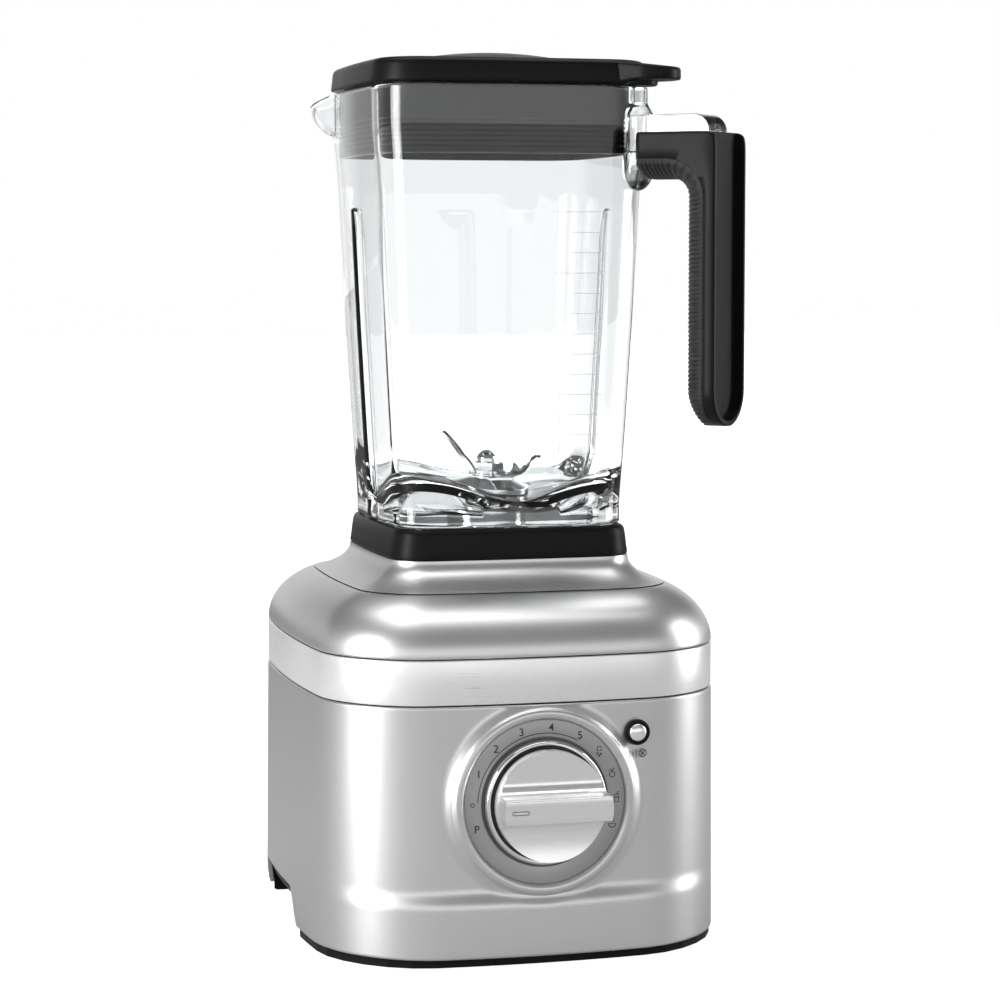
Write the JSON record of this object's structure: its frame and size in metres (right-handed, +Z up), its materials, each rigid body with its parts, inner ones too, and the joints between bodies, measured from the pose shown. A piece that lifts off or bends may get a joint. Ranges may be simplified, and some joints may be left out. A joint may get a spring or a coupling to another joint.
{
  "type": "countertop blender",
  "caption": "Blender with a squared motor base, front speed dial, start button, clear fluted jar with a corner handle and spout, blade set, lid and centre cap.",
  "frame": {"origin": "on the drive axis at table level", "axes": "+Z up the drive axis, -Y towards the dial, +X to the right seen from the front"},
  "size_m": [0.199, 0.241, 0.4096],
  "materials": {
    "painted_silver": "fine metallic paint",
    "brushed_band": "brushed along its length",
    "plate_grey": "satin",
    "black_plastic": "satin",
    "black_rubber": "soft matt",
    "clear_jar": "clear, polished",
    "knob_metal": "fine turned",
    "white_mark": "smooth",
    "blade_steel": "polished",
    "plain_steel": "machined",
    "lamination": "stacked sheet",
    "copper": "enamelled wire",
    "cast_bracket": "cast",
    "brass": "plain",
    "carbon": "dry",
    "coupler_plastic": "moulded",
    "board_green": "coated",
    "part_grey": "moulded"
  },
  "bodies": {
    "base": {"body_shell": "painted_silver", "trim_band": "brushed_band", "band_gaskets": "black_rubber", "dome_shell": "painted_silver", "neck_shell": "painted_silver", "jar_seat": "black_plastic", "bottom_plate": "black_plastic", "hand_wells": "black_plastic", "feet": "black_rubber", "plate_screws": "plain_steel", "motor_stator": "lamination", "field_coils": "copper", "upper_bracket": "cast_bracket", "lower_bracket": "cast_bracket", "upper_bearing": "plain_steel", "lower_bearing": "plain_steel", "brush_holders": "brass", "carbon_brushes": "carbon", "brush_springs": "plain_steel", "control_board": "board_green", "board_parts": "part_grey", "dial_encoder": "part_grey", "dial_plate": "plate_grey", "dial_rim": "painted_silver", "button_bezel": "black_plastic", "button_spring": "plain_steel", "button_switch": "part_grey", "cord_inlet": "black_plastic"},
    "dial": {"dial_shaft": "plain_steel", "knob_skirt": "knob_metal", "knob": "knob_metal", "knob_marker": "white_mark"},
    "start": {"start_button": "knob_metal"},
    "rotor": {"motor_shaft": "plain_steel", "rotor_core": "lamination", "rotor_windings": "copper", "commutator": "copper", "cooling_fan": "coupler_plastic", "drive_coupler": "coupler_plastic"},
    "jar": {"jar": "clear_jar", "handle_core": "clear_jar", "jar_collar": "black_plastic", "grip_shell": "black_plastic", "grip_sleeve": "black_rubber", "grip_screws": "plain_steel", "blade_housing": "blade_steel", "housing_nut": "black_plastic", "housing_gasket": "black_rubber", "blade_bushes": "brass"},
    "blades": {"lower_blade": "blade_steel", "upper_blade": "blade_steel", "blade_washer": "blade_steel", "acorn_nut": "blade_steel", "blade_shaft": "blade_steel", "driven_coupler": "coupler_plastic"},
    "lid": {"lid": "black_plastic", "lid_seal": "black_rubber"},
    "cap": {"centre_cap": "black_plastic", "cap_seal": "black_rubber"}
  },
  "joints": [
    {"name": "dial_turn", "type": "hinge", "parent": "base", "child": "dial", "pos_m": [0, -0.105, 0.0745], "axis": [0, -1, 0], "range_deg": [-200, 19.6]},
    {"name": "start_press", "type": "slide", "parent": "base", "child": "start", "axis": [0, 1, 0], "range_m": [0, 0.0015], "stiffness_N_per_m": 800, "springref_m": -0.0005},
    {"name": "rotor_spin", "type": "hinge", "parent": "base", "child": "rotor", "pos_m": [0, 0, 0.1], "axis": [0, 0, 1], "continuous": true},
    {"name": "jar_lift", "type": "slide", "parent": "base", "child": "jar", "axis": [0, 0, 1], "range_m": [0, 0.12]},
    {"name": "blade_spin", "type": "hinge", "parent": "jar", "child": "blades", "pos_m": [0, 0, 0.2], "axis": [0, 0, 1], "continuous": true},
    {"name": "lid_lift", "type": "slide", "parent": "jar", "child": "lid", "axis": [0, 0, 1], "range_m": [0, 0.06]},
    {"name": "cap_lift", "type": "slide", "parent": "lid", "child": "cap", "axis": [0, 0, 1], "range_m": [0, 0.04]}
  ],
  "couplings": [
    {"joint": "blade_spin", "follows": "rotor_spin", "ratio": 1}
  ]
}
